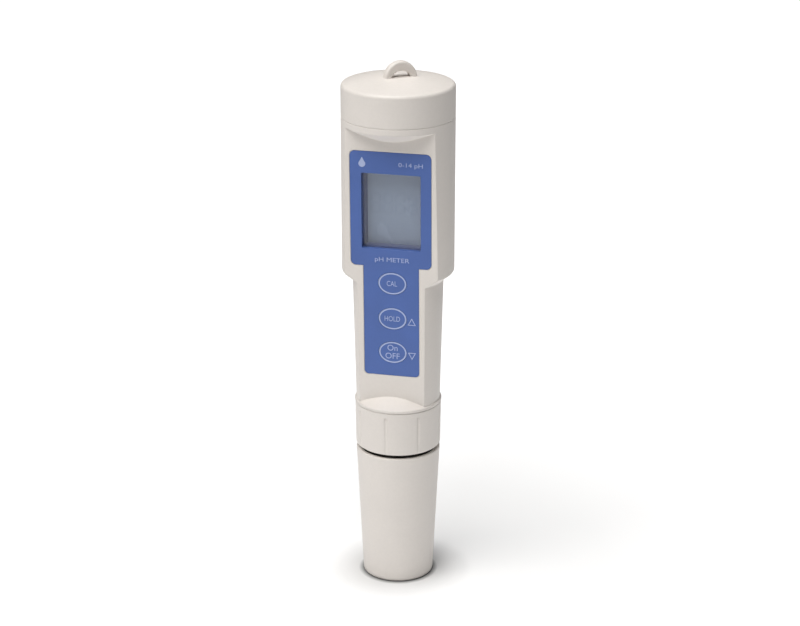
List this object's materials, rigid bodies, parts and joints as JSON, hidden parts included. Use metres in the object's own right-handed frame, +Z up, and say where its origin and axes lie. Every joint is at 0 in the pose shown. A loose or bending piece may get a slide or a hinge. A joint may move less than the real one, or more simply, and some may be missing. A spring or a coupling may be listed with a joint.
{
  "type": "ph meter",
  "caption": "Pen-type waterproof pH meter with LCD, membrane keys, screw battery cap and replaceable electrode under a protective cap.",
  "frame": {"origin": "centre of the protective cap's flat bottom, on the pen's axis", "axes": "+Z up along the pen's axis; the flat front with the display and keys faces -Y; +X to the right seen from the front"},
  "size_m": [0.04, 0.04, 0.193],
  "materials": {
    "off_white_plastic": "fine moulded texture, satin",
    "label_blue": "printed polyester film, satin",
    "clear_pane": "clear acrylic",
    "display_grey": "liquid crystal glass, polarised",
    "black_plastic": "moulded",
    "slate_plastic": "moulded, dark blue-grey",
    "dark_plastic": "moulded",
    "grey_plastic": "moulded",
    "black_rubber": "smooth rubber",
    "silicone": "matt silicone",
    "circuit_board": "solder mask",
    "chip_black": "moulded epoxy",
    "capacitor_tan": "ceramic chip",
    "nickel_steel": "nickel-plated",
    "gold_plated": "thin gold plate",
    "electrode_black": "moulded",
    "bulb_glass": "thin clear glass",
    "silver": "silver wire, chloride coated",
    "ceramic_white": "porous ceramic",
    "sponge": "open-cell sponge"
  },
  "bodies": {
    "housing": {"housing": "off_white_plastic", "label_film": "label_blue", "window_frame": "label_blue", "display_window": "clear_pane", "display_bezel": "slate_plastic", "display_glass": "display_grey", "display_contact_strips": "black_rubber", "main_board": "circuit_board", "microcontroller": "chip_black", "input_amplifier": "chip_black", "calibration_memory": "chip_black", "crystal": "nickel_steel", "chip_capacitors": "capacitor_tan", "chip_resistors": "chip_black", "board_screws": "nickel_steel", "chassis": "grey_plastic", "battery_terminals": "gold_plated", "cal_switch_base": "black_plastic", "hold_switch_base": "black_plastic", "power_switch_base": "black_plastic", "electrode_socket": "black_plastic", "socket_contacts": "gold_plated"},
    "cal_key_body": {"cal_key": "label_blue", "cal_key_actuator": "silicone", "cal_switch_button": "dark_plastic"},
    "hold_key_body": {"hold_key": "label_blue", "hold_key_actuator": "silicone", "hold_switch_button": "dark_plastic"},
    "power_key_body": {"power_key": "label_blue", "power_key_actuator": "silicone", "power_switch_button": "dark_plastic"},
    "battery_cap_carrier": {"battery_cap_seal": "black_rubber"},
    "battery_cap_body": {"battery_cap": "off_white_plastic"},
    "battery_tray_body": {"battery_tray": "black_plastic", "button_cells": "nickel_steel", "battery_contacts": "nickel_steel", "battery_spring": "nickel_steel"},
    "electrode": {"electrode_body": "electrode_black", "electrode_guard": "electrode_black", "glass_bulb": "bulb_glass", "silver_wire": "silver", "temperature_sensor": "nickel_steel", "reference_junction": "ceramic_white", "electrode_contact_board": "circuit_board", "electrode_seal": "black_rubber", "protective_cap_seal": "black_rubber", "collar_gasket": "black_rubber"},
    "collar": {"collar_nut": "off_white_plastic"},
    "protective_cap_body": {"protective_cap": "off_white_plastic", "storage_sponge": "sponge"}
  },
  "joints": [
    {"name": "cal_key_press", "type": "slide", "parent": "housing", "child": "cal_key_body", "axis": [0, 0.9996, 0.0275], "range_m": [0, 0.0005], "stiffness_N_per_m": 1500},
    {"name": "hold_key_press", "type": "slide", "parent": "housing", "child": "hold_key_body", "axis": [0, 0.9996, 0.0275], "range_m": [0, 0.0005], "stiffness_N_per_m": 1500},
    {"name": "power_key_press", "type": "slide", "parent": "housing", "child": "power_key_body", "axis": [0, 0.9996, 0.0275], "range_m": [0, 0.0005], "stiffness_N_per_m": 1500},
    {"name": "battery_cap_lift", "type": "slide", "parent": "housing", "child": "battery_cap_carrier", "axis": [0, 0, 1], "range_m": [0, 0.06]},
    {"name": "battery_cap_turn", "type": "hinge", "parent": "battery_cap_carrier", "child": "battery_cap_body", "pos_m": [0, 0, 0.178], "axis": [0, 0, 1], "range_deg": [0, 540]},
    {"name": "battery_tray_lift", "type": "slide", "parent": "housing", "child": "battery_tray_body", "axis": [0, 0, 1], "range_m": [0, 0.034]},
    {"name": "electrode_pull", "type": "slide", "parent": "housing", "child": "electrode", "axis": [0, 0, -1], "range_m": [0, 0.04]},
    {"name": "collar_turn", "type": "hinge", "parent": "electrode", "child": "collar", "pos_m": [0, 0, 0.059], "axis": [0, 0, 1], "range_deg": [-540, 0]},
    {"name": "protective_cap_pull", "type": "slide", "parent": "electrode", "child": "protective_cap_body", "axis": [0, 0, -1], "range_m": [0, 0.06]}
  ],
  "couplings": [
    {"joint": "battery_cap_turn", "follows": "battery_cap_lift", "rad_per_m": 156.92},
    {"joint": "battery_tray_lift", "follows": "battery_cap_lift", "ratio": 0.55},
    {"joint": "collar_turn", "follows": "electrode_pull", "rad_per_m": -235.38}
  ]
}
